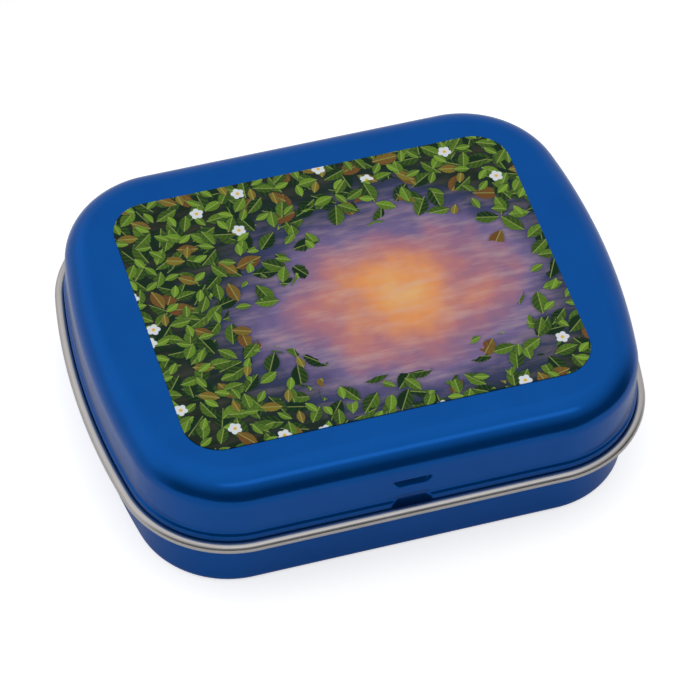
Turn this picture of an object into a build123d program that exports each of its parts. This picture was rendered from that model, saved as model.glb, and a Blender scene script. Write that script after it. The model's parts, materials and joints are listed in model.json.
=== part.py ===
from build123d import *
import os
from math import atan2, ceil, cos, degrees, radians, sin, sqrt, tan

# Pocket mint tin with a hinged lid, in millimetres.
# The origin is on the table under the middle of the tin, +X along its length, +Z up, front at -Y.
# Sections are drawn as (s, z): s is measured outwards from the lid skirt's outer face, z from the table.

# Driving dimensions of the whole tin
overall_length = 60.0  # over the lid's rolled edge, end to end
overall_width = 48.0  # over the lid's rolled edge, front to back
lid_top_height = 16.8  # table to the top of the closed lid
sheet = 0.23  # tinplate
cut_overrun = 1.0  # how far a cutting body stands past what it cuts

# Plan of the lid skirt's outer face: straight long sides, bowed ends, round corners
corner_radius = 11.0
end_bow_radius = 74.0

# Lid
lid_edge_radius = 3.1  # soft edge between the flat top and the skirt
roll_diameter = 1.08  # rolled edge at the foot of the skirt
roll_stand_off = 0.11  # from the skirt's outer face to the roll's back
roll_height = 7.85  # table to the roll's centre, lid closed
roll_turn = 240.0  # degrees the sheet curls on, from the roll's foot up and back over the top
curl_flats = 12  # the small curls and bends are struck in this many flats to a full turn
inside_flats = 20  # and so is the inside of the soft edge, in this many

# Thumb catch pressed into the front of the skirt
catch_width = 4.3
catch_depth = 0.45
catch_top_height = 12.5
catch_foot_height = 11.1

# Base
lid_clearance = 0.62  # between the skirt's inside and the base wall
rim_height = 13.0
rim_roll_diameter = 0.9
foot_radius = 0.8  # bend between the wall and the foot
foot_width = 1.3  # flat ring that stands on the table
panel_rise = 0.4  # the bottom panel stands above the table by this much
panel_slope = 45.0  # degrees, of the step from the foot up to the panel

# Hinge: two tabs of the lid hook through slots in the base's back wall
open_angle = 105.0  # degrees, lid fully open
tab_width = 8.0
tab_spacing = 24.0  # between the tabs' middles
tab_relief = 0.5  # gap from each side of a tab to the rolled edge
tab_neck = 0.1  # skirt left plain above the roll, beside a tab
hook_turn = 120.0  # degrees, curl of the hook about the hinge axis
open_clearance = 0.1  # between the open lid's roll and the base wall
slot_clearance = 0.1  # above and below the hook
slot_side_clearance = 0.15  # at each side of the hook

# Printed label on the flat of the lid
label_length = 44.2
label_width = 34.5
label_corner_radius = 4.0
label_thickness = 0.1

# Values worked out from the above
roll_radius = roll_diameter / 2
roll_s = roll_stand_off + roll_radius
roll_reach = roll_s + roll_radius
half_length = overall_length / 2 - roll_reach
half_width = overall_width / 2 - roll_reach
roll_bend_radius = sheet + roll_s
wall_s = -(sheet + lid_clearance)
rim_roll_radius = rim_roll_diameter / 2

# Centres of the plan's arcs: the end bow's lies on the X axis, a corner's touches the bow and the long side
bow_x = half_length - end_bow_radius
corner_y = half_width - corner_radius
corner_x = bow_x + sqrt((end_bow_radius - corner_radius) ** 2 - corner_y**2)
bow_angle = degrees(atan2(corner_y, corner_x - bow_x))

# Hinge axis: in the middle of the back wall's sheet, low enough for the open lid's roll to clear the wall
axis_y = half_width + wall_s - sheet / 2
roll_from_axis_y = half_width + roll_s - axis_y
open_reach = roll_radius + sheet / 2 + open_clearance
axis_drop = (open_reach - roll_from_axis_y * cos(radians(open_angle))) / sin(radians(open_angle))
axis_z = roll_height - axis_drop
hook_outer_radius = half_width - axis_y
hook_inner_radius = hook_outer_radius - sheet


def arc_at(centre, radius, start, turn):
    """Arc about a point of the section or plan, from a start angle through a turn in degrees."""
    return CenterArc(centre, radius, start, turn)


def struck(centre, radius, start, turn, full_turn_flats=curl_flats):
    """Points of a small bend struck in flats, from a start angle through a turn in degrees."""
    flats = ceil(abs(turn) * full_turn_flats / 360)
    angles = [radians(start + turn * i / flats) for i in range(flats + 1)]
    return [(centre[0] + radius * cos(a), centre[1] + radius * sin(a)) for a in angles]


def plan_face(offset):
    """Flat face inside the plan, moved outwards by offset."""
    corner = corner_radius + offset
    bow = end_bow_radius + offset
    side_y = half_width + offset
    corner_turn = 90 - bow_angle
    edges = [
        arc_at((bow_x, 0), bow, -bow_angle, 2 * bow_angle),
        arc_at((corner_x, corner_y), corner, bow_angle, corner_turn),
        Line((corner_x, side_y), (-corner_x, side_y)),
        arc_at((-corner_x, corner_y), corner, 90, corner_turn),
        arc_at((-bow_x, 0), bow, 180 - bow_angle, 2 * bow_angle),
        arc_at((-corner_x, -corner_y), corner, 180 + bow_angle, corner_turn),
        Line((-corner_x, -side_y), (corner_x, -side_y)),
        arc_at((corner_x, -corner_y), corner, 270, corner_turn),
    ]
    return make_face(Wire(edges))


def turned(section, centre, radius, start, turn):
    """The section carried round one arc of the plan."""
    upright = Rot(0, 0, start) * (Plane.XZ * Pos(radius, 0) * section)
    return Pos(*centre, 0) * revolve(upright, Axis.Z, turn)


def carried_round(section):
    """The section carried round the whole plan: bows, corners and straight sides."""
    corner_turn = 90 - bow_angle
    half = turned(section, (bow_x, 0), end_bow_radius, -bow_angle, 2 * bow_angle)
    half += turned(section, (corner_x, corner_y), corner_radius, bow_angle, corner_turn)
    half += turned(section, (corner_x, -corner_y), corner_radius, 270, corner_turn)
    side = Plane.YZ.offset(-corner_x) * Pos(half_width, 0) * section
    half += extrude(side, 2 * corner_x)
    return half + Rot(0, 0, 180) * half


def flat_plate(offset, underside):
    """One sheet's thickness of metal inside the plan, moved outwards by offset."""
    return Pos(0, 0, underside) * extrude(plan_face(offset), sheet)


def lid_section():
    """Soft edge, skirt and outward roll, one sheet thick all along.

    The skirt's foot bends out to the roll's foot, and the sheet then curls up and back on a smaller radius.
    """
    edge = (-lid_edge_radius, lid_top_height - lid_edge_radius)
    roll = (roll_s, roll_height)
    bend = (roll_s, roll_height - roll_radius + roll_bend_radius)
    painted_side = struck(bend, roll_bend_radius - sheet, 180, 90)
    painted_side += struck(roll, roll_radius - sheet, 270, roll_turn)[1:]
    bare_side = struck(roll, roll_radius, 270 + roll_turn, -roll_turn)
    bare_side += struck(bend, roll_bend_radius, 270, -90)[1:]
    inner_edge = struck(edge, lid_edge_radius - sheet, 0, 90, inside_flats)
    plate_edge = (-lid_edge_radius, lid_top_height)
    flats = Polyline((0, edge[1]), *painted_side, *bare_side, *inner_edge, plate_edge)
    return make_face(Wire([arc_at(edge, lid_edge_radius, 0, 90), *flats.edges()]))


def base_section():
    """Inward rim roll, wall, foot and the step up to the bottom panel, one sheet thick all along."""
    rim = (wall_s - rim_roll_radius, rim_height - rim_roll_radius)
    bend = (wall_s - foot_radius, foot_radius)
    step_s = bend[0] - foot_width
    run = panel_rise / tan(radians(panel_slope))
    mitre = sheet * tan(radians(panel_slope / 2))
    outline = [
        *struck(rim, rim_roll_radius, 270, -270),
        *struck(bend, foot_radius, 0, -90),
        (step_s, 0),
        (step_s - run, panel_rise),
        (panel_edge_s(), panel_rise),
        (panel_edge_s(), panel_rise + sheet),
        (step_s - run + mitre, panel_rise + sheet),
        (step_s + mitre, sheet),
        *struck(bend, foot_radius - sheet, 270, 90),
        *struck(rim, rim_roll_radius - sheet, 0, 270),
    ]
    return make_face(Polyline(*outline, close=True))


def panel_edge_s():
    """Where the bottom panel's plate takes over from the section, a sheet past the step."""
    run = panel_rise / tan(radians(panel_slope))
    return wall_s - foot_radius - foot_width - run - sheet


def catch_cone(grow):
    """Cone that dents the skirt: half-moon in plan, deepest at its flat top, running out at its foot."""
    top_radius = ((catch_width / 2) ** 2 + catch_depth**2) / (2 * catch_depth)
    foot_cone_radius = top_radius - catch_depth
    cone = Cone(
        foot_cone_radius + grow,
        top_radius + grow,
        catch_top_height - catch_foot_height + grow,
        align=(Align.CENTER, Align.CENTER, Align.MIN),
    )
    return Pos(0, -half_width - foot_cone_radius, catch_foot_height) * cone


def with_catch(lid):
    """Presses the thumb catch into the front of the skirt, keeping the sheet's thickness."""
    inside = Pos(0, sheet / 2 - half_width, 0) * Box(
        2 * catch_width, 2 * catch_depth, lid_top_height, align=(Align.CENTER, Align.MIN, Align.MIN)
    )
    return lid + (catch_cone(sheet) & inside) - catch_cone(0)


def hook_face():
    """Side view of a tab's hook, a strip curled about the hinge axis, as (y, z)."""
    centre = (axis_y, axis_z)
    end = radians(-hook_turn)
    inner_end = (axis_y + hook_inner_radius * cos(end), axis_z + hook_inner_radius * sin(end))
    outer_end = (axis_y + hook_outer_radius * cos(end), axis_z + hook_outer_radius * sin(end))
    outline = [
        arc_at(centre, hook_inner_radius, -hook_turn, hook_turn),
        Line((axis_y + hook_inner_radius, axis_z), (axis_y + hook_outer_radius, axis_z)),
        arc_at(centre, hook_outer_radius, -hook_turn, hook_turn),
        Line(outer_end, inner_end),
    ]
    return make_face(Wire(outline))


def with_tab(lid, middle_x):
    """Cuts the roll away behind the tin and hangs one hinge tab from the skirt there."""
    neck_z = roll_height + roll_radius + tab_neck
    notch_depth = roll_diameter + 2 * cut_overrun
    notch = Pos(middle_x, half_width - sheet - cut_overrun, neck_z) * Box(
        tab_width + 2 * tab_relief,
        notch_depth + sheet,
        roll_diameter + 2 * cut_overrun,
        align=(Align.CENTER, Align.MIN, Align.MAX),
    )
    strip = Pos(middle_x, half_width, axis_z) * Box(
        tab_width, sheet, neck_z - axis_z, align=(Align.CENTER, Align.MAX, Align.MIN)
    )
    hook = extrude(Plane.YZ.offset(middle_x - tab_width / 2) * hook_face(), tab_width)
    return lid - notch + strip + hook


def with_slot(base, middle_x):
    """Cuts the slot that one hook swings in through the base's back wall."""
    opened = radians(open_angle)
    foot_drop = (hook_outer_radius - sheet / 2 * cos(opened)) / sin(opened) + slot_clearance
    head_drop = sqrt(hook_inner_radius**2 - (sheet / 2) ** 2) - slot_clearance
    slot = Pos(middle_x, axis_y, axis_z - foot_drop) * Box(
        tab_width + 2 * slot_side_clearance,
        sheet + cut_overrun,
        foot_drop - head_drop,
        align=(Align.CENTER, Align.CENTER, Align.MIN),
    )
    return base - slot


def make_lid():
    """Drawn lid with its rolled edge, thumb catch and two hinge tabs."""
    lid = carried_round(lid_section())
    lid += flat_plate(-lid_edge_radius, lid_top_height - sheet)
    lid = with_catch(lid)
    for side in (-1, 1):
        lid = with_tab(lid, side * tab_spacing / 2)
    return lid


def make_base():
    """Drawn base with its rim roll, foot, raised panel and two hinge slots."""
    base = carried_round(base_section())
    base += flat_plate(panel_edge_s(), panel_rise)
    for side in (-1, 1):
        base = with_slot(base, side * tab_spacing / 2)
    return base


def make_label():
    """Thin printed label lying on the flat of the lid."""
    outline = RectangleRounded(label_length, label_width, label_corner_radius)
    return Pos(0, 0, lid_top_height) * extrude(outline, label_thickness)


os.makedirs("parts", exist_ok=True)
pieces = {"base": make_base(), "lid": make_lid(), "lid_label": make_label()}
for name, piece in pieces.items():
    export_step(piece, f"parts/{name}.step")
    print(name, len(piece.solids()), "solid, volume", round(piece.volume, 2), "mm3")
print("hinge axis at y", round(axis_y, 4), "z", round(axis_z, 4))
print("corner centre", round(corner_x, 3), round(corner_y, 3), "bow angle", round(bow_angle, 3))
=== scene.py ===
import json
import math

import bpy
import numpy as np
from mathutils import Matrix, Vector


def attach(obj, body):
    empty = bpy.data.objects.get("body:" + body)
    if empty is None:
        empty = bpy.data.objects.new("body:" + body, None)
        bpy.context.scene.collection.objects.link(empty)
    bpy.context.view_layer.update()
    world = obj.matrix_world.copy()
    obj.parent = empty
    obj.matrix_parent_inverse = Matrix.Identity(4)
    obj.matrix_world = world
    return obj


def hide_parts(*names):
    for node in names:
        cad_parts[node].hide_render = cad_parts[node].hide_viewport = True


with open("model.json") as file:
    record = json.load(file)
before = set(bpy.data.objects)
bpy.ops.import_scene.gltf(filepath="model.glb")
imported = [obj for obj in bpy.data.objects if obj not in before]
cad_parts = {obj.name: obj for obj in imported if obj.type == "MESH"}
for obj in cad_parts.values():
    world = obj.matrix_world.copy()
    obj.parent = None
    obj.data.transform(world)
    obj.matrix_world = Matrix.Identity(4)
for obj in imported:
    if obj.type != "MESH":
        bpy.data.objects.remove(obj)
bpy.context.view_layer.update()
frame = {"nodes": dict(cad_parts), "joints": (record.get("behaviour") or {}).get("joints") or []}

millimetre = 0.001
straightOut = 0.9999          # past this, a normal's y part says that it is the front's or the back's

# Mint tin: a drawn base, a lid with a rolled bright edge and a printed label.
# Lengths of the sheet pieces are in millimetres. Sections are (s, z): s is measured outwards from
# the lid skirt's painted face and z from the table.

plan = {
    "halfLength": 28.81,      # skirt's painted face, middle of an end
    "halfWidth": 22.81,       # skirt's painted face, front and back
    "cornerRadius": 11.0,
    "bowRadius": 74.0,        # ends are bowed a little
    "sheet": 0.23,            # tinplate
    "cornerSteps": 26,
    "bowSteps": 26,
    "sideSteps": 44,
    "backSteps": 9,           # on each tab or slot and on each stretch beside them
}


# Arc centres of the plan: the bow's on the X axis, the corner's touching the bow and the long side.
def planCentres():
    bowX = plan["halfLength"] - plan["bowRadius"]
    cornerY = plan["halfWidth"] - plan["cornerRadius"]
    cornerX = bowX + math.sqrt((plan["bowRadius"] - plan["cornerRadius"]) ** 2 - cornerY ** 2)
    return bowX, cornerX, cornerY, math.atan2(cornerY, cornerX - bowX)


# Points centre + radius * direction, with the direction as normal, the last one left to the next run.
def arcStations(cx, cy, radius, start, end, steps):
    turn = np.linspace(start, end, steps, endpoint=False)
    normal = np.stack([np.cos(turn), np.sin(turn)], axis=1)
    return np.array([cx, cy]) + radius * normal, normal


# Points along a straight side, all with the same normal.
def sideStations(xs, y):
    normal = np.tile([0.0, math.copysign(1.0, y)], (len(xs), 1))
    return np.stack([xs, np.full(len(xs), y)], axis=1), normal


# Anticlockwise round the plan from the right-hand end: places on the skirt's face and their normals.
def planStations(frontXs, backXs):
    bowX, cornerX, cornerY, bowTurn = planCentres()
    corner, bow, side = plan["cornerRadius"], plan["bowRadius"], plan["halfWidth"]
    quarter, steps = math.pi / 2, plan["cornerSteps"]
    runs = [
        arcStations(bowX, 0, bow, -bowTurn, bowTurn, plan["bowSteps"]),
        arcStations(cornerX, cornerY, corner, bowTurn, quarter, steps),
        sideStations(backXs, side),
        arcStations(-cornerX, cornerY, corner, quarter, math.pi - bowTurn, steps),
        arcStations(-bowX, 0, bow, math.pi - bowTurn, math.pi + bowTurn, plan["bowSteps"]),
        arcStations(-cornerX, -cornerY, corner, math.pi + bowTurn, 3 * quarter, steps),
        sideStations(frontXs, -side),
        arcStations(cornerX, -cornerY, corner, 3 * quarter, 2 * math.pi - bowTurn, steps),
    ]
    return np.concatenate([r[0] for r in runs]), np.concatenate([r[1] for r in runs])


# Places along the back, right to left: its ends, and half a width either side of each tab's middle.
def backMarks(half):
    _, cornerX, _, _ = planCentres()
    middle = lid["tabSpacing"] / 2
    return [cornerX, middle + half, middle - half, half - middle, -middle - half, -cornerX]


# Evenly spaced places between each mark and the next.
def alongBack(marks):
    stretches = [np.linspace(a, b, plan["backSteps"], endpoint=False) for a, b in zip(marks, marks[1:])]
    return np.concatenate(stretches)


# Numbers of the stations on the back that are nearest to the given places.
def backColumns(base, normal, xs):
    onBack = normal[:, 1] > straightOut
    return [int(np.argmin(np.where(onBack, np.abs(base[:, 0] - x), np.inf))) for x in xs]


# Section points centre + radius * (cos a, sin a), a in degrees from start to end.
def arcProfile(centre, radius, start, end, steps):
    turn = np.radians(np.linspace(start, end, steps + 1))
    return np.stack([centre[0] + radius * np.cos(turn), centre[1] + radius * np.sin(turn)], axis=1)


# Evenly spaced section points from start towards end, without the end.
def straightProfile(start, end, steps):
    t = np.linspace(0, 1, steps, endpoint=False)[:, None]
    return np.array(start) + (np.array(end) - np.array(start)) * t


# The point at section place (s, z) for every station: base + s * normal, at height z.
# s may vary by station.
def carried(base, normal, s, z):
    s, z, _ = np.broadcast_arrays(s, z, base[None, :, 0])
    xy = base[None] + s[..., None] * normal[None]
    return np.concatenate([xy, z[..., None]], axis=2)


# Adds level rings inside the last one: its x and y times shares that fall evenly from 1 towards 0.
def drawnIn(rings, count):
    shrink = np.linspace(1, 0, count + 1)[1:-1, None, None]
    flat = rings[-1][None] * np.array([1, 1, 0]) * shrink + rings[-1][None] * np.array([0, 0, 1])
    return np.concatenate([rings, flat])


# Quads of a grid whose point (row, column) has the number row * columns + column.
def gridFaces(rows, columns, closeRows=False, closeColumns=True):
    r = np.arange(rows if closeRows else rows - 1)
    c = np.arange(columns if closeColumns else columns - 1)
    r, c = [a.ravel() for a in np.meshgrid(r, c, indexing="ij")]
    nextR, nextC = (r + 1) % rows, (c + 1) % columns
    corners = [(r, c), (r, nextC), (nextR, nextC), (nextR, c)]
    return np.stack([row * columns + column for row, column in corners], axis=1)


# A mesh object from millimetre points, its quads and triangles, with one material number for each face.
def meshPiece(name, points, quads, triangles, numbers, materials, sharpAngle=35):
    mesh = bpy.data.meshes.new(name)
    mesh.from_pydata((points * millimetre).tolist(), [], quads.tolist() + triangles.tolist())
    for material in materials:
        mesh.materials.append(material)
    mesh.polygons.foreach_set("material_index", numbers.astype(np.int32))
    mesh.update()
    mesh.set_sharp_from_angle(angle=math.radians(sharpAngle))
    piece = bpy.data.objects.new(name, mesh)
    bpy.context.scene.collection.objects.link(piece)
    return piece


# Collects grids of points into one mesh: each part adds its points, quads, triangles and material number.
class Surface:

    def __init__(self):
        self.points, self.quads, self.triangles, self.count = [], [], [], 0
        self.quadNumbers, self.triangleNumbers = [], []

    def add(self, points, quads, number, triangles=None):
        self.points.append(points.reshape(-1, 3))
        self.quads.append(quads + self.count)
        self.quadNumbers.append(np.broadcast_to(number, len(quads)))
        if triangles is not None:
            self.triangles.append(triangles + self.count)
            self.triangleNumbers.append(np.broadcast_to(number, len(triangles)))
        self.count += len(self.points[-1])

    def piece(self, name, materials):
        return meshPiece(name, np.concatenate(self.points), np.concatenate(self.quads),
                         np.concatenate(self.triangles),
                         np.concatenate(self.quadNumbers + self.triangleNumbers), materials)


# Adds a face's rings, closed at the middle by a fan. flip turns the faces to the other side.
# Where whole is given, it says for each quad of the rings whether the sheet is there.
def addSheetFace(surface, rings, number, flip, whole=None):
    rows, columns = rings.shape[:2]
    quads = gridFaces(rows, columns)
    if whole is not None:
        quads = quads[whole.ravel()]
    last = (rows - 1) * columns + np.arange(columns)
    fan = np.stack([last, np.roll(last, -1), np.full(columns, rows * columns)], axis=1)
    if flip:
        quads, fan = quads[:, ::-1], fan[:, ::-1]
    middle = [[0, 0, rings[-1, 0, 2]]]
    surface.add(np.concatenate([rings.reshape(-1, 3), middle]), quads, number, fan)


# The sheet's cut edge: a ring of quads between its outer and inner faces.
def addRim(surface, outerRow, innerRow, number):
    points = np.concatenate([outerRow, innerRow])
    surface.add(points, gridFaces(2, len(outerRow))[:, ::-1], number)


# Materials

blueLacquer = {
    "colour": (0.0006, 0.092, 0.40),
    "metallic": 0.66,
    "roughness": 0.20,
    "specular": 0.02,
    "coat": 0.12,
    "coatRoughness": 0.10,
    "cloud": (220.0, 3.0, 0.5),          # noise scale, detail and roughness
    "cloudTint": (0.10, 0.04, 0.03),     # shares by which red, green and blue drift either way
    "cloudGloss": 0.07,                  # and the share by which the roughness does
    "peel": (2600.0, 2.0, 0.55),
    "peelStrength": 0.05,
    "peelDepth": 0.00005,                # metres
}
bareTin = {
    "rollColour": (0.55, 0.53, 0.52),
    "rollRoughness": 0.29,
    "rollMarks": 0.03,                   # strength of the drawing marks
    "insideColour": (0.62, 0.605, 0.585),
    "insideRoughness": 0.36,
    "insideMarks": 0.12,
    "mottle": (300.0, 2.0, 0.5),
    "mottleTint": 0.07,                  # share by which the colour is darker
    "mottleGloss": 0.15,                 # share by which the roughness drifts either way
    "marks": (1500.0, 3.0, 0.6),
    "marksStretch": 0.08,                # scale of the marks up the walls
    "marksDepth": 0.00002,               # metres
}
mottleSpan = (0.3, 0.7)                  # the noise's values that the tint goes over


# A new node with its sockets set by name.
def nodeIn(tree, kind, **values):
    node = tree.nodes.new(kind)
    for name, setting in values.items():
        node.inputs[name].default_value = setting
    return node


# A new material made of nodes, its tree and its shader.
def newMaterial(name):
    material = bpy.data.materials.new(name)
    material.use_nodes = True
    tree = material.node_tree
    return material, tree, tree.nodes["Principled BSDF"]


# Noise over a vector socket, with its scale, detail and roughness.
def noiseOver(tree, vector, grain):
    scale, detail, roughness = grain
    noise = nodeIn(tree, "ShaderNodeTexNoise", Scale=scale, Detail=detail, Roughness=roughness)
    tree.links.new(vector, noise.inputs["Vector"])
    return noise.outputs["Fac"]


# Colour ramp through steps of (position, (red, green, blue)), by a factor socket.
def rampThrough(tree, factor, steps):
    ramp = tree.nodes.new("ShaderNodeValToRGB")
    elements = ramp.color_ramp.elements
    for position, _ in steps[1:-1]:
        elements.new(position)
    for element, (position, colour) in zip(elements, steps):
        element.position = position
        element.color = (*colour, 1)
    tree.links.new(factor, ramp.inputs["Fac"])
    return ramp.outputs["Color"]


# Colour and gloss that drift with a noise: the colour goes from low to high,
# and the roughness from (1 - drift) to (1 + drift) times its value.
def driftBy(tree, shader, noise, low, high, roughness, drift):
    tint = rampThrough(tree, noise, tuple(zip(mottleSpan, (low, high))))
    tree.links.new(tint, shader.inputs["Base Color"])
    gloss = tree.nodes.new("ShaderNodeMapRange")
    gloss.inputs["To Min"].default_value = roughness * (1 - drift)
    gloss.inputs["To Max"].default_value = roughness * (1 + drift)
    tree.links.new(noise, gloss.inputs["Value"])
    tree.links.new(gloss.outputs["Result"], shader.inputs["Roughness"])


# Fine relief from a height socket.
def reliefBy(tree, shader, height, strength, depth):
    bump = nodeIn(tree, "ShaderNodeBump", Strength=strength, Distance=depth)
    tree.links.new(height, bump.inputs["Height"])
    tree.links.new(bump.outputs["Normal"], shader.inputs["Normal"])


# Blue lacquer on tinplate: a faint cloudiness in the colour, fine orange peel in the gloss.
def makeLacquer():
    material, tree, shader = newMaterial("blueLacquer")
    place = tree.nodes.new("ShaderNodeTexCoord").outputs["Object"]
    cloud = noiseOver(tree, place, blueLacquer["cloud"])
    colour, tint = np.array(blueLacquer["colour"]), np.array(blueLacquer["cloudTint"])
    driftBy(tree, shader, cloud, colour * (1 - tint), colour * (1 + tint),
            blueLacquer["roughness"], blueLacquer["cloudGloss"])
    peel = noiseOver(tree, place, blueLacquer["peel"])
    reliefBy(tree, shader, peel, blueLacquer["peelStrength"], blueLacquer["peelDepth"])
    shader.inputs["Metallic"].default_value = blueLacquer["metallic"]
    shader.inputs["Specular IOR Level"].default_value = blueLacquer["specular"]
    shader.inputs["Coat Weight"].default_value = blueLacquer["coat"]
    shader.inputs["Coat Roughness"].default_value = blueLacquer["coatRoughness"]
    return material


# Bare tinplate: satin metal with fine drawing marks up the walls and a slight mottle.
def makeBareTin(name, colour, roughness, marksStrength):
    material, tree, shader = newMaterial(name)
    place = tree.nodes.new("ShaderNodeTexCoord").outputs["Object"]
    mottle = noiseOver(tree, place, bareTin["mottle"])
    dull = np.array(colour) * (1 - bareTin["mottleTint"])
    driftBy(tree, shader, mottle, dull, colour, roughness, bareTin["mottleGloss"])
    stretch = nodeIn(tree, "ShaderNodeMapping", Scale=(1.0, 1.0, bareTin["marksStretch"]))
    tree.links.new(place, stretch.inputs["Vector"])
    marks = noiseOver(tree, stretch.outputs["Vector"], bareTin["marks"])
    reliefBy(tree, shader, marks, marksStrength, bareTin["marksDepth"])
    shader.inputs["Metallic"].default_value = 1.0
    return material


labelPrint = {
    "glow": (5.0, -2.5),          # middle of the warm glow, millimetres
    "glowReach": (27.0, 20.0),
    "waver": (0.13, 3.0, 0.55),   # noise scale, detail and roughness
    "waverShare": 0.5,
    "ramp": [
        (0.00, (0.95, 0.56, 0.20)),
        (0.16, (0.90, 0.36, 0.13)),
        (0.34, (0.52, 0.21, 0.24)),
        (0.50, (0.20, 0.15, 0.32)),
        (0.66, (0.05, 0.06, 0.15)),
        (0.84, (0.012, 0.028, 0.022)),
        (1.00, (0.010, 0.022, 0.010)),
    ],
    "wisp": (1.0, 4.0, 0.6),
    "wispTurn": 0.5,
    "wispScale": (0.16, 0.75, 1),
    "wispFrom": 0.45,             # noise value at which wisps begin
    "wispStrength": 1.4,
    "wispInLeaves": 0.15,         # share of them that is left among the leaves
    "wispColour": (0.75, 0.55, 0.50),
    "leavesFrom": 0.46,           # distance from the glow at which leaves begin
    "leavesRun": 0.40,            # and over which they become certain
    "roughness": 0.36,
    "specular": 0.08,
}
leaves = {
    "layers": [                   # cell, length and half width in millimetres, then turn and lightness
        (3.0, 2.9, 0.80, 2.6, -0.6),
        (3.6, 3.1, 0.85, 0.3, -0.4),
        (3.3, 2.7, 0.70, 1.7, -0.1),
        (2.9, 2.3, 0.60, 4.1, 0.25),
        (2.4, 1.7, 0.42, 5.2, 0.75),
    ],
    "layerShift": (31.0, 17.0),   # times the turn, so that no two layers fall together
    "scatter": 0.65,
    "dark": (0.006, 0.030, 0.010),
    "light": (0.20, 0.38, 0.03),
    "warm": (0.30, 0.11, 0.03),
    "warmFrom": 0.86,             # leaves whose chance is above this are warm
    "warmShare": 0.6,
    "shadow": (0.006, 0.022, 0.03),
    "shadowWidth": 0.7,
    "shadowShare": 0.7,
    "edgeWidth": 0.07,
    "teeth": 26.0,                # radians over half a leaf
    "teethHeight": 0.035,
    "foldWidth": 0.05,
    "foldShade": 0.28,            # how much lighter one half of a leaf is
    "veinsAlong": 15.0,           # radians over half a leaf
    "veinsAcross": 9.0,           # and for each millimetre out from its middle
    "veinsShade": 0.07,
    "chanceShade": 0.45,
    "layerShade": 0.5,
    "rib": (0.45, 0.55, 0.16),
    "ribHalf": 0.05,
    "ribSoft": 0.06,
    "ribShare": 0.55,
}
blossoms = {
    "spacing": 4.6,               # millimetres
    "scatter": 0.8,
    "radius": 0.75,
    "lobeTurn": 2.5,              # half the number of petals
    "lobeShare": 0.28,
    "heartRadius": 0.2,
    "edgeWidth": 0.08,
    "chance": 0.5,                # share of the cells with one, at the label's edge
    "petal": (0.80, 0.86, 0.90),
    "heart": (0.85, 0.52, 0.08),
}


# Output of a Math node, as in value(tree, "ADD", a, b), where a and b are numbers or sockets.
def value(tree, operation, *inputs, clamp=False):
    node = tree.nodes.new("ShaderNodeMath")
    node.operation = operation
    node.use_clamp = clamp
    for socket, given in zip(node.inputs, inputs):
        if isinstance(given, (int, float)):
            socket.default_value = given
        else:
            tree.links.new(given, socket)
    return node.outputs[0]


# first + second
def plus(tree, first, second, clamp=False):
    return value(tree, "ADD", first, second, clamp=clamp)


# first - second
def minus(tree, first, second, clamp=False):
    return value(tree, "SUBTRACT", first, second, clamp=clamp)


# first * second
def times(tree, first, second, clamp=False):
    return value(tree, "MULTIPLY", first, second, clamp=clamp)


# Colour between two colours or sockets by a factor socket. Sockets 6 and 7 are the node's two colours.
def blend(tree, factor, first, second):
    node = tree.nodes.new("ShaderNodeMix")
    node.data_type = "RGBA"
    tree.links.new(factor, node.inputs["Factor"])
    for socket, given in ((node.inputs[6], first), (node.inputs[7], second)):
        if isinstance(given, tuple):
            socket.default_value = (*given, 1)
        else:
            tree.links.new(given, socket)
    return node.outputs[2]


# 1 inside an edge and 0 outside, over a soft width: (inside distance) / width + 0.5, clamped.
def soft(tree, inside, width):
    return plus(tree, value(tree, "DIVIDE", inside, width), 0.5, clamp=True)


# Difference of two vector sockets: first - second.
def wayTo(tree, first, second):
    node = tree.nodes.new("ShaderNodeVectorMath")
    node.operation = "SUBTRACT"
    tree.links.new(first, node.inputs[0])
    tree.links.new(second, node.inputs[1])
    return node.outputs[0]


# Length of a vector socket.
def lengthOf(tree, vector):
    node = tree.nodes.new("ShaderNodeVectorMath")
    node.operation = "LENGTH"
    tree.links.new(vector, node.inputs[0])
    return node.outputs["Value"]


# Voronoi cells of a size: the way from the cell's point, and three random numbers for each cell.
def cellsOver(tree, place, cell, scatter):
    cells = nodeIn(tree, "ShaderNodeTexVoronoi", Scale=1 / cell, Randomness=scatter)
    cells.voronoi_dimensions = "2D"
    tree.links.new(place, cells.inputs["Vector"])
    chance = tree.nodes.new("ShaderNodeSeparateColor")
    tree.links.new(cells.outputs["Color"], chance.inputs[0])
    return wayTo(tree, place, cells.outputs["Position"]), chance.outputs


# X and Y of a vector socket.
def partsOf(tree, vector):
    parts = tree.nodes.new("ShaderNodeSeparateXYZ")
    tree.links.new(vector, parts.inputs[0])
    return parts.outputs["X"], parts.outputs["Y"]


# A leaf's colour: from dark to light by the sum of its lighter half, its veins sin(along - across),
# its own chance and its layer's lightness, warm for some, with a pale rib along the middle.
def leafColour(tree, u, y, across, chance, lightness):
    fold = times(tree, soft(tree, y, leaves["foldWidth"]), leaves["foldShade"])
    slant = minus(tree, times(tree, u, leaves["veinsAlong"]), times(tree, across, leaves["veinsAcross"]))
    veins = times(tree, value(tree, "SINE", slant), leaves["veinsShade"])
    shade = plus(tree, plus(tree, fold, veins), times(tree, chance[2], leaves["chanceShade"]))
    shade = plus(tree, shade, lightness * leaves["layerShade"], clamp=True)
    colour = blend(tree, shade, leaves["dark"], leaves["light"])
    warm = times(tree, value(tree, "GREATER_THAN", chance[0], leaves["warmFrom"]), leaves["warmShare"])
    colour = blend(tree, warm, colour, leaves["warm"])
    rib = soft(tree, minus(tree, leaves["ribHalf"], across), leaves["ribSoft"])
    return blend(tree, times(tree, rib, leaves["ribShare"]), colour, leaves["rib"])


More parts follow.
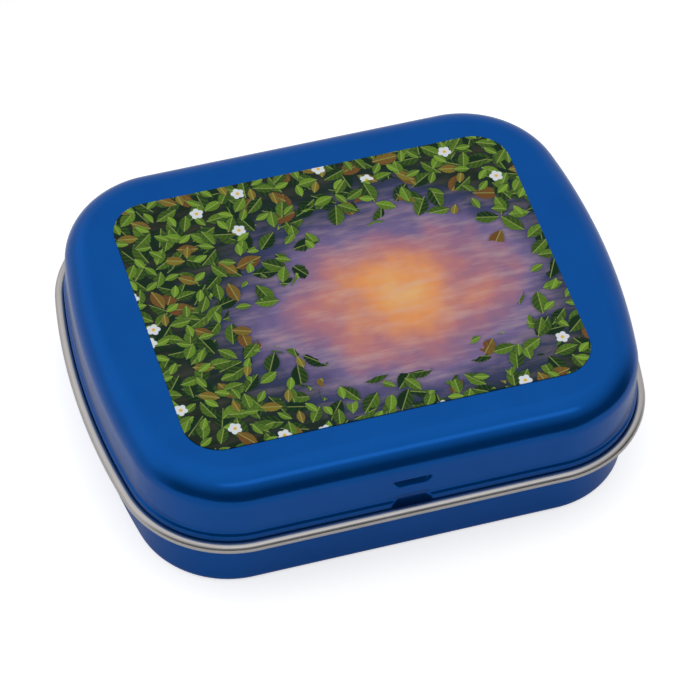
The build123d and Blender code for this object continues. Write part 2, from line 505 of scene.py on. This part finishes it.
# One scatter of leaves: every Voronoi cell holds a leaf at its point, turned at random.
# Along the leaf u runs from -1 to 1, and its outline is halfWidth * (1 - u^2) with small teeth.
def leafLayer(tree, place, border, under, cell, length, halfWidth, turn, lightness):
    shiftX, shiftY = leaves["layerShift"]
    shift = nodeIn(tree, "ShaderNodeMapping", Location=(turn * shiftX, turn * shiftY, 0),
                   Rotation=(0, 0, turn))
    tree.links.new(place, shift.inputs["Vector"])
    local, chance = cellsOver(tree, shift.outputs["Vector"], cell, leaves["scatter"])
    spin = tree.nodes.new("ShaderNodeVectorRotate")
    spin.rotation_type = "Z_AXIS"
    tree.links.new(local, spin.inputs["Vector"])
    tree.links.new(times(tree, chance[0], 2 * math.pi), spin.inputs["Angle"])
    x, y = partsOf(tree, spin.outputs[0])
    u = value(tree, "DIVIDE", x, length / 2)
    across = value(tree, "ABSOLUTE", y)
    outline = times(tree, minus(tree, 1.0, times(tree, u, u)), halfWidth)
    teeth = times(tree, value(tree, "SINE", times(tree, u, leaves["teeth"])), leaves["teethHeight"])
    inside = minus(tree, plus(tree, outline, teeth), across)
    kept = value(tree, "GREATER_THAN", border, chance[1])
    shadow = times(tree, soft(tree, inside, leaves["shadowWidth"]), kept)
    mask = times(tree, soft(tree, inside, leaves["edgeWidth"]), kept)
    dimmed = blend(tree, times(tree, shadow, leaves["shadowShare"]), under, leaves["shadow"])
    return blend(tree, mask, dimmed, leafColour(tree, u, y, across, chance, lightness))


# Pale blossoms in some cells, with a warm heart. Their edge is at
# radius * (1 - lobeShare + lobeShare * |cos(lobeTurn * angle)|).
def blossomLayer(tree, place, border, under):
    local, chance = cellsOver(tree, place, blossoms["spacing"], blossoms["scatter"])
    x, y = partsOf(tree, local)
    away = lengthOf(tree, local)
    angle = plus(tree, value(tree, "ARCTAN2", y, x), chance[2])
    lobes = value(tree, "ABSOLUTE", value(tree, "COSINE", times(tree, angle, blossoms["lobeTurn"])))
    edge = plus(tree, times(tree, lobes, blossoms["lobeShare"]), 1 - blossoms["lobeShare"])
    edge = times(tree, edge, blossoms["radius"])
    kept = value(tree, "GREATER_THAN", times(tree, border, blossoms["chance"]), chance[0])
    for reach, colour in ((edge, "petal"), (blossoms["heartRadius"], "heart")):
        mask = times(tree, soft(tree, minus(tree, reach, away), blossoms["edgeWidth"]), kept)
        under = blend(tree, mask, under, blossoms[colour])
    return under


# Distance from the glow's middle, in shares of its reach, with a slow waver from a noise.
def glowDistance(tree, place):
    cx, cy = labelPrint["glow"]
    rx, ry = labelPrint["glowReach"]
    fitted = nodeIn(tree, "ShaderNodeMapping", Location=(-cx / rx, -cy / ry, 0), Scale=(1 / rx, 1 / ry, 0))
    tree.links.new(place, fitted.inputs["Vector"])
    waver = minus(tree, noiseOver(tree, place, labelPrint["waver"]), 0.5)      # about the noise's middle
    waver = times(tree, waver, labelPrint["waverShare"])
    return plus(tree, lengthOf(tree, fitted.outputs["Vector"]), waver)


# Printed film: a warm glow that fades through mauve and slate to green, with thin wisps over it,
# and leaves with a few blossoms towards the edge. border says how likely a leaf is, from 0 over the glow
# to 1 at the edge.
def makeLabelPrint():
    material, tree, shader = newMaterial("labelPrint")
    scaled = nodeIn(tree, "ShaderNodeMapping", Scale=(1 / millimetre, 1 / millimetre, 0.0))
    tree.links.new(tree.nodes.new("ShaderNodeTexCoord").outputs["Object"], scaled.inputs["Vector"])
    place = scaled.outputs["Vector"]
    distance = glowDistance(tree, place)
    beyond = minus(tree, distance, labelPrint["leavesFrom"])
    border = value(tree, "DIVIDE", beyond, labelPrint["leavesRun"], clamp=True)
    wisps = nodeIn(tree, "ShaderNodeMapping", Rotation=(0, 0, labelPrint["wispTurn"]),
                   Scale=labelPrint["wispScale"])
    tree.links.new(place, wisps.inputs["Vector"])
    streak = noiseOver(tree, wisps.outputs["Vector"], labelPrint["wisp"])
    veil = minus(tree, streak, labelPrint["wispFrom"], clamp=True)
    veil = times(tree, veil, labelPrint["wispStrength"], clamp=True)
    overGlow = times(tree, minus(tree, 1.0, border), 1 - labelPrint["wispInLeaves"])
    veil = times(tree, veil, plus(tree, overGlow, labelPrint["wispInLeaves"]))
    colour = blend(tree, veil, rampThrough(tree, distance, labelPrint["ramp"]), labelPrint["wispColour"])
    for layer in leaves["layers"]:
        colour = leafLayer(tree, place, border, colour, *layer)
    colour = blossomLayer(tree, place, border, colour)
    tree.links.new(colour, shader.inputs["Base Color"])
    shader.inputs["Roughness"].default_value = labelPrint["roughness"]
    shader.inputs["Specular IOR Level"].default_value = labelPrint["specular"]
    return material


lacquer = makeLacquer()
rollTin = makeBareTin("rollTin", bareTin["rollColour"], bareTin["rollRoughness"], bareTin["rollMarks"])
insideTin = makeBareTin("insideTin", bareTin["insideColour"], bareTin["insideRoughness"],
                        bareTin["insideMarks"])
printedFilm = makeLabelPrint()
sheetMaterials = [lacquer, rollTin, insideTin]
painted, bright, bare = range(3)          # their numbers on the sheet pieces
print("materials made")

# Lid

lid = {
    "top": 16.8,
    "edgeRadius": 3.1,
    "edgeSteps": 18,
    "plateRings": 8,
    "stepTop": 9.6,           # the skirt steps out a little above the roll
    "stepFoot": 9.1,
    "stepOut": 0.22,
    "neckZ": 8.49,            # the skirt's one surface ends here and the roll and tabs go on
    "neckSteps": 5,
    "bendSteps": 12,
    "rollRadius": 0.62,
    "rollS": 0.57,            # the roll's centre, out from the skirt's face
    "rollZ": 7.87,
    "rollTurn": 205,          # degrees the sheet curls on past the roll's foot
    "rollSteps": 30,
    "tabWidth": 8.0,
    "tabSpacing": 24.0,
    "tabRelief": 0.5,
    "tabColumns": 7,
    "jogZ": 8.2,              # the tabs are back in line with the skirt here
    "jogSteps": 3,
    "tabSteps": 6,
    "hookTurn": 120,
    "hookSteps": 24,
    "sideColumns": 14,        # of the front, on each side of the catch
}
catch = {
    "width": 3.9,
    "depth": 0.55,            # of the groove under the ledge
    "top": 12.5,
    "ledge": 0.4,
    "swell": 0.3,             # share by which the groove is shallower at its middle
    "grooveFoot": 11.3,
    "grooveBend": 1.15,       # power by which its floor comes out
    "lipFoot": 10.3,          # below the groove the skirt stands out again down to here
    "hollowTop": 8.6,         # and under the lip it is pressed in
    "hollowDepth": 0.14,
    "hollowFoot": 7.5,        # it ends behind the roll
    "footRun": 0.3,
    "endRun": 0.8,            # the ends slope in over this length
    "fineAbove": 0.35,        # the skirt's rows are close together from here above the catch's top
    "fineBelow": 0.2,         # to here below it
    "rows": (5, 22, 38),      # of the skirt, above, in and below that stretch
    "fineShare": 0.85,        # share of the width, each way, over which the columns are close together
    "columns": 84,
}
hinge = next(j for j in frame["joints"] if j["name"] == "lid_hinge")
axisY, axisZ = hinge["pos_m"][1] / millimetre, hinge["pos_m"][2] / millimetre


# 3t^2 - 2t^3 with t held between 0 and 1.
def smoothStep(t):
    t = np.clip(t, 0, 1)
    return t * t * (3 - 2 * t)


# How far the skirt stands out above the roll: stepOut * smoothStep(how far z is down the step).
def footStep(z):
    return lid["stepOut"] * smoothStep((lid["stepTop"] - z) / (lid["stepTop"] - lid["stepFoot"]))


# How far the thumb catch is pressed in at (x, z) of the front, on a face grow behind the painted one:
# ends * (depth * middle * ledge * run + hollowDepth * hollow + level).
# The groove is deepest just under its ledge and runs out at its foot. level takes the skirt's step away.
def catchDepth(x, z, grow):
    top, foot, lip = catch["top"] + grow, catch["grooveFoot"], catch["lipFoot"]
    ledge = smoothStep((top - z) / catch["ledge"])
    run = np.clip((z - foot) / (catch["top"] - catch["ledge"] - foot), 0, 1) ** catch["grooveBend"]
    aboveFoot = smoothStep((z - catch["hollowFoot"]) / catch["footRun"])
    hollow = aboveFoot * smoothStep((lip - z) / (lip - catch["hollowTop"]))
    level = aboveFoot * smoothStep((lip - z) / (lip - lid["stepTop"])) * footStep(z)
    half = catch["width"] / 2 + grow - catch["endRun"] / 2 * (1 - np.maximum(run, hollow))
    ends = smoothStep((half + catch["endRun"] / 2 - np.abs(x)) / catch["endRun"])
    middle = 1 - catch["swell"] * (1 - np.clip(2 * x / catch["width"], -1, 1) ** 2)
    return ends * (catch["depth"] * middle * ledge * run + catch["hollowDepth"] * hollow + level)


# Catch depth at each height z and each station of the front, and 0 elsewhere, with grow as above.
def pressedIn(base, normal, z, grow):
    onFront = normal[:, 1] < -straightOut
    return np.where(onFront[None], catchDepth(base[None, :, 0], z[:, None], grow), 0)


# Heights down the skirt, close together where the catch's ledge is.
def skirtRows():
    edge, bottom = lid["top"] - lid["edgeRadius"], lid["neckZ"]
    fineTop, fineFoot = catch["top"] + catch["fineAbove"], catch["top"] - catch["fineBelow"]
    above, within, below = catch["rows"]
    return np.concatenate([
        np.linspace(edge, fineTop, above, endpoint=False),
        np.linspace(fineTop, fineFoot, within, endpoint=False),
        np.linspace(fineFoot, bottom, below),
    ])


# One face of the lid's sheet from the skirt's foot up over the soft edge and in towards the middle.
# Rings at (s, z) up the skirt, less the catch, and round the edge, then the flat top's rings.
def lidSheet(base, normal, inner):
    thick = plan["sheet"] if inner else 0.0
    centre = (-lid["edgeRadius"], lid["top"] - lid["edgeRadius"])
    up = skirtRows()[::-1]
    edge = arcProfile(centre, lid["edgeRadius"] - thick, 0, 90, lid["edgeSteps"])[1:]
    skirt = carried(base, normal, (footStep(up) - thick)[:, None] - pressedIn(base, normal, up, thick),
                    up[:, None])
    rings = np.concatenate([skirt, carried(base, normal, edge[:, :1], edge[:, 1:])])
    return drawnIn(rings, lid["plateRings"])


# A strip of curled sheet carried along an open run of the plan, closed at its ends.
# front and back are the section points of its painted and bare sides, one for one, from its top
# to its free end. The first wallPoints of each belong to the skirt, and the catch is pressed into them.
def addStrip(surface, base, normal, front, back, wallPoints):
    loop = np.concatenate([front, back[::-1]])
    rows, columns, half = len(loop), len(base), len(front)
    k = np.arange(rows)
    onWall = (k < wallPoints) | (k >= rows - wallPoints)
    pressed = np.where(onWall[:, None], pressedIn(base, normal, loop[:, 1], 0), 0)
    points = carried(base, normal, loop[:, :1] - pressed, loop[:, 1:])
    quads = gridFaces(rows, columns, closeRows=True, closeColumns=False)[:, ::-1]
    row = np.repeat(k, columns - 1)
    surface.add(points, quads, np.where(row < half - 1, painted, bright))
    k = np.arange(half - 1)
    cap = np.stack([k, k + 1, rows - 2 - k, rows - 1 - k], axis=1)
    surface.add(points[:, 0], cap[:, ::-1], bright)
    surface.add(points[:, -1], cap, bright)


# A side of the rolled edge, depth behind the painted one: down from the neck, out round a bend, then on
# round and over. The bend's radius is the way from the neck's bare side to the roll's centre.
def rollSection(depth):
    thick, neck, radius = plan["sheet"], lid["stepOut"], lid["rollRadius"]
    bendRadius = thick + lid["rollS"] - neck
    bend = (lid["rollS"], lid["rollZ"] - radius + bendRadius)
    inset = thick - depth     # on both arcs the painted side is the inner one
    return np.concatenate([
        straightProfile((neck - depth, lid["neckZ"]), (neck - depth, bend[1]), lid["neckSteps"]),
        arcProfile(bend, bendRadius - inset, 180, 270, lid["bendSteps"]),
        arcProfile((lid["rollS"], lid["rollZ"]), radius - inset, 270, 270 + lid["rollTurn"],
                   lid["rollSteps"])[1:],
    ])


# A side of a hinge tab, depth behind the painted one: back in line with the skirt, straight down to
# the hinge's height, then curled in about its axis.
def tabSection(depth):
    axisS = axisY - plan["halfWidth"]
    return np.concatenate([
        straightProfile((lid["stepOut"] - depth, lid["neckZ"]), (-depth, lid["jogZ"]), lid["jogSteps"]),
        straightProfile((-depth, lid["jogZ"]), (-depth, axisZ), lid["tabSteps"]),
        arcProfile((axisS, axisZ), -axisS - depth, 0, -lid["hookTurn"], lid["hookSteps"]),
    ])


# Sheet shell, the rolled edge in two runs between the tabs, and the two tabs.
def makeLid():
    _, cornerX, _, _ = planCentres()
    reach = catch["width"] * catch["fineShare"]
    frontXs = np.concatenate([
        np.linspace(-cornerX, -reach, lid["sideColumns"], endpoint=False),
        np.linspace(-reach, reach, catch["columns"], endpoint=False),
        np.linspace(reach, cornerX, lid["sideColumns"], endpoint=False),
    ])
    halfTab = lid["tabWidth"] / 2
    marks = backMarks(halfTab + lid["tabRelief"])
    base, normal = planStations(frontXs, alongBack(marks))
    surface = Surface()
    outer, inner = lidSheet(base, normal, False), lidSheet(base, normal, True)
    addSheetFace(surface, outer, painted, False)
    addSheetFace(surface, inner, bare, True)
    addRim(surface, outer[0], inner[0], bright)

    rightOuter, rightInner, leftInner, leftOuter = backColumns(base, normal, marks[1:5])
    around = np.arange(leftOuter, rightOuter + len(base) + 1) % len(base)
    between = np.arange(rightInner, leftInner + 1)
    front, back = rollSection(0), rollSection(plan["sheet"])
    for run in (around, between):
        addStrip(surface, base[run], normal[run], front, back, len(front) - lid["rollSteps"])
    front, back = tabSection(0), tabSection(plan["sheet"])
    for side in (1, -1):
        xs = side * lid["tabSpacing"] / 2 + np.linspace(halfTab, -halfTab, lid["tabColumns"])
        addStrip(surface, *sideStations(xs, plan["halfWidth"]), front, back, 0)
    return surface.piece("lid_shell", sheetMaterials)


lidShell = makeLid()
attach(lidShell, "lid")
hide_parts("lid")
print("lid made", len(lidShell.data.polygons), "faces")

# Base

tray = {
    "wallS": -0.85,           # painted face of the wall, in from the skirt's face
    "rim": 13.0,
    "rimRadius": 0.45,
    "footRadius": 0.8,
    "footWidth": 1.3,
    "rise": 0.4,
    "slope": 45,
    "slotSide": 0.15,
    "slotClear": 0.1,
    "openAngle": hinge["range_deg"][1],
    "curlSteps": 30,
    "wallSteps": 10,          # above the slots, and below them again
    "slotSteps": 3,
    "footSteps": 10,
    "flatSteps": 4,
    "panelRings": 8,
}


# Low and high edge of the hinge slots: clear of the hook at rest and with the lid open.
def slotHeights():
    t = plan["sheet"]
    outer = plan["halfWidth"] - axisY
    inner = outer - t
    opened = math.radians(tray["openAngle"])
    low = axisZ - (outer - t / 2 * math.cos(opened)) / math.sin(opened) - tray["slotClear"]
    high = axisZ - math.sqrt(inner ** 2 - (t / 2) ** 2) + tray["slotClear"]
    return low, high


# Section points of one face of the base's sheet, from inside the rim roll down the wall to the panel.
def traySection(inner):
    thick = plan["sheet"] if inner else 0.0
    wall, radius, footRadius = tray["wallS"], tray["rimRadius"], tray["footRadius"]
    rim = (wall - radius, tray["rim"] - radius)
    bend = (wall - footRadius, footRadius)
    slope = math.radians(tray["slope"])
    stepS = bend[0] - tray["footWidth"] + thick * math.tan(slope / 2)
    low, high = slotHeights()
    wallRows = np.concatenate([
        np.linspace(rim[1], high, tray["wallSteps"], endpoint=False)[1:],
        np.linspace(high, low, tray["slotSteps"], endpoint=False),
        np.linspace(low, bend[1], tray["wallSteps"], endpoint=False),
    ])
    foot = arcProfile(bend, footRadius - thick, 0, -90, tray["footSteps"])
    return np.concatenate([
        arcProfile(rim, radius - thick, 270, 0, tray["curlSteps"]),
        np.stack([np.full(len(wallRows), wall - thick), wallRows], axis=1),
        foot,
        straightProfile(foot[-1], (stepS, thick), tray["flatSteps"])[1:],
        [(stepS, thick), (stepS - tray["rise"] / math.tan(slope), tray["rise"] + thick)],
    ])


# Adds a slot's cut edge: a ring of quads between the two faces, round rows high to low, columns a to b.
def addSlotEdge(surface, outer, inner, high, low, a, b):
    rows, columns = np.arange(high, low + 1), np.arange(a, b + 1)
    edge = [(high, c) for c in columns] + [(r, b) for r in rows[1:]]
    edge += [(low, c) for c in columns[::-1][1:]] + [(r, a) for r in rows[::-1][1:-1]]
    row, column = np.array(edge).T
    surface.add(np.concatenate([outer[row, column], inner[row, column]]), gridFaces(2, len(edge)), bright)


# Both faces of the base's sheet carried round the plan, with the hinge slots left out of the back wall.
# Rows high to low and columns a to b of the rings are a slot.
def makeTray():
    _, cornerX, _, _ = planCentres()
    frontXs = np.linspace(-cornerX, cornerX, plan["sideSteps"], endpoint=False)
    marks = backMarks(lid["tabWidth"] / 2 + tray["slotSide"])
    base, normal = planStations(frontXs, alongBack(marks))
    at = backColumns(base, normal, marks[1:5])
    slots = (at[:2], at[2:])
    high = tray["curlSteps"] + tray["wallSteps"]
    low = high + tray["slotSteps"]
    surface = Surface()
    faces = []
    for inner in (False, True):
        section = traySection(inner)
        rings = drawnIn(carried(base, normal, section[:, :1], section[:, 1:]), tray["panelRings"])
        whole = np.ones((len(rings) - 1, len(base)), bool)
        for a, b in slots:
            whole[high:low, a:b] = False
        addSheetFace(surface, rings, bare if inner else painted, not inner, whole)
        faces.append(rings)
    outside, inside = faces
    addRim(surface, outside[0], inside[0], bright)
    for a, b in slots:
        addSlotEdge(surface, outside, inside, high, low, a, b)
    return surface.piece("base_shell", sheetMaterials)


baseShell = makeTray()
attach(baseShell, "base")
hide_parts("base")
print("base made", len(baseShell.data.polygons), "faces")

# The label keeps its modelled shape and gets its print
label = frame["nodes"]["lid_label"]
label.data.materials.clear()
label.data.materials.append(printedFilm)
print("label printed")

# Camera, at the photograph's angle

view = {
    "place": (-95.67, -281.07, 366.41),      # millimetres
    "tilt": 39.53,                           # degrees up from straight down
    "heading": -18.85,                       # degrees round from the front, to the right
    "roll": 2.52,                            # degrees about the line of sight
    "lens": 223.71,
    "sensor": 36,
    "nearest": 0.01,                         # metres
}


# A camera that looks straight down, turned about its line of sight by roll, then up by tilt and round
# by heading, and moved to its place.
def makeCamera():
    camera = bpy.data.objects.new("camera", bpy.data.cameras.new("camera"))
    bpy.context.scene.collection.objects.link(camera)
    camera.data.sensor_width = view["sensor"]
    camera.data.lens = view["lens"]
    camera.data.clip_start = view["nearest"]
    turns = (("heading", "Z"), ("tilt", "X"), ("roll", "Z"))
    heading, tilt, roll = (Matrix.Rotation(math.radians(view[name]), 4, axis) for name, axis in turns)
    place = Matrix.Translation(Vector(view["place"]) * millimetre)
    camera.matrix_world = place @ heading @ tilt @ roll
    bpy.context.scene.camera = camera


makeCamera()
print("camera placed")

# Light and floor

studio = {
    "floor": (0.80, 0.80, 0.80, 1),
    "floorRoughness": 0.9,
    "floorHalf": 0.065,       # metres
    "floorDrop": 0.00002,     # so that the floor and the foot's underside don't coincide
    "floorSeen": 0.62,        # white added to the floor for the camera
    "floorMirrored": 0.09,    # and for mirror rays
    # Sky levels by the sine of the height angle
    "front": [(0.0, 0.04), (0.22, 0.06), (0.5, 0.40), (0.75, 0.70), (1.0, 0.95)],
    "back": [(0.0, 0.62), (0.3, 0.72), (0.72, 0.70), (0.86, 0.88), (1.0, 0.95)],
    "left": [(0.0, 0.65), (0.35, 0.95), (0.72, 0.95), (0.86, 0.95), (1.0, 0.95)],
    # Parts of the ray's direction where a side begins and where it is full
    "backByY": (-0.1, 0.35),
    "leftByX": (-0.1, -0.5),
    "leftByY": (-0.45, 0.1),
    "stripPlace": (0.05, -0.38, 0.51),       # metres
    "stripSize": (0.5, 0.14),
    "stripAim": (0, 0, 0.01),
    "stripPower": 0.16,
}


# Sum of weight * ray kind over the given outputs of Light Path.
def rayWeight(tree, weights):
    path = tree.nodes.new("ShaderNodeLightPath")
    total = 0.0
    for kind, weight in weights.items():
        total = plus(tree, total, times(tree, path.outputs[kind], weight))
    return total


# A plain pale floor. What the camera and mirrors see of it is lifted towards white.
def makeFloor():
    half, z = studio["floorHalf"], -studio["floorDrop"]
    mesh = bpy.data.meshes.new("floor")
    corners = [(-half, -half, z), (half, -half, z), (half, half, z), (-half, half, z)]
    mesh.from_pydata(corners, [], [(0, 1, 2, 3)])
    floor = bpy.data.objects.new("floor", mesh)
    bpy.context.scene.collection.objects.link(floor)
    material, tree, shader = newMaterial("paleFloor")
    shader.inputs["Base Color"].default_value = studio["floor"]
    shader.inputs["Roughness"].default_value = studio["floorRoughness"]
    shader.inputs["Specular IOR Level"].default_value = 0.0
    shader.inputs["Emission Color"].default_value = (1, 1, 1, 1)
    seen, mirrored = studio["floorSeen"], studio["floorMirrored"]
    lift = rayWeight(tree, {"Is Camera Ray": seen, "Is Glossy Ray": mirrored,
                            "Is Transmission Ray": mirrored})
    tree.links.new(lift, shader.inputs["Emission Strength"])
    mesh.materials.append(material)


# How far a direction's X or Y has come from low to high: (coordinate - low) / (high - low), clamped.
def share(tree, coordinate, span):
    low, high = span
    return value(tree, "DIVIDE", minus(tree, coordinate, low), high - low, clamp=True)


# Soft light from above: dark at the front horizon, with a pale wall on the left and a lighter back.
# Each side's brightness is a ramp on the height of the ray's direction. The camera sees plain white.
def makeWorld():
    world = bpy.data.worlds.new("studio")
    bpy.context.scene.world = world
    world.use_nodes = True
    tree = world.node_tree
    sky = tree.nodes["Background"]
    place = tree.nodes.new("ShaderNodeTexCoord")
    part = tree.nodes.new("ShaderNodeSeparateXYZ")
    tree.links.new(place.outputs["Generated"], part.inputs[0])
    x, y, z = part.outputs
    front, back, left = (
        rampThrough(tree, z, [(position, (level, level, level)) for position, level in studio[side]])
        for side in ("front", "back", "left")
    )
    around = blend(tree, share(tree, y, studio["backByY"]), front, back)
    leftness = times(tree, share(tree, x, studio["leftByX"]), share(tree, y, studio["leftByY"]))
    tree.links.new(blend(tree, leftness, around, left), sky.inputs["Color"])
    white = nodeIn(tree, "ShaderNodeBackground", Color=(1, 1, 1, 1), Strength=1.0)
    path = tree.nodes.new("ShaderNodeLightPath")
    choice = tree.nodes.new("ShaderNodeMixShader")
    tree.links.new(path.outputs["Is Camera Ray"], choice.inputs["Fac"])
    tree.links.new(sky.outputs[0], choice.inputs[1])
    tree.links.new(white.outputs[0], choice.inputs[2])
    tree.links.new(choice.outputs[0], tree.nodes["World Output"].inputs["Surface"])


# A long area lamp in front, whose light draws the line along the soft edge, turned towards the tin.
def makeStrip():
    place, aim = np.array(studio["stripPlace"]), np.array(studio["stripAim"])
    data = bpy.data.lights.new("frontStrip", "AREA")
    data.shape = "RECTANGLE"
    data.size, data.size_y = studio["stripSize"]
    data.energy = studio["stripPower"]
    lamp = bpy.data.objects.new("frontStrip", data)
    bpy.context.scene.collection.objects.link(lamp)
    away = place - aim
    tilt = math.acos(away[2] / np.linalg.norm(away))
    lamp.location = place
    lamp.rotation_euler = (tilt, 0, math.atan2(away[1], away[0]) + math.pi / 2)


makeFloor()
makeWorld()
makeStrip()
bpy.context.scene.view_settings.view_transform = "Standard"
print("studio lit")
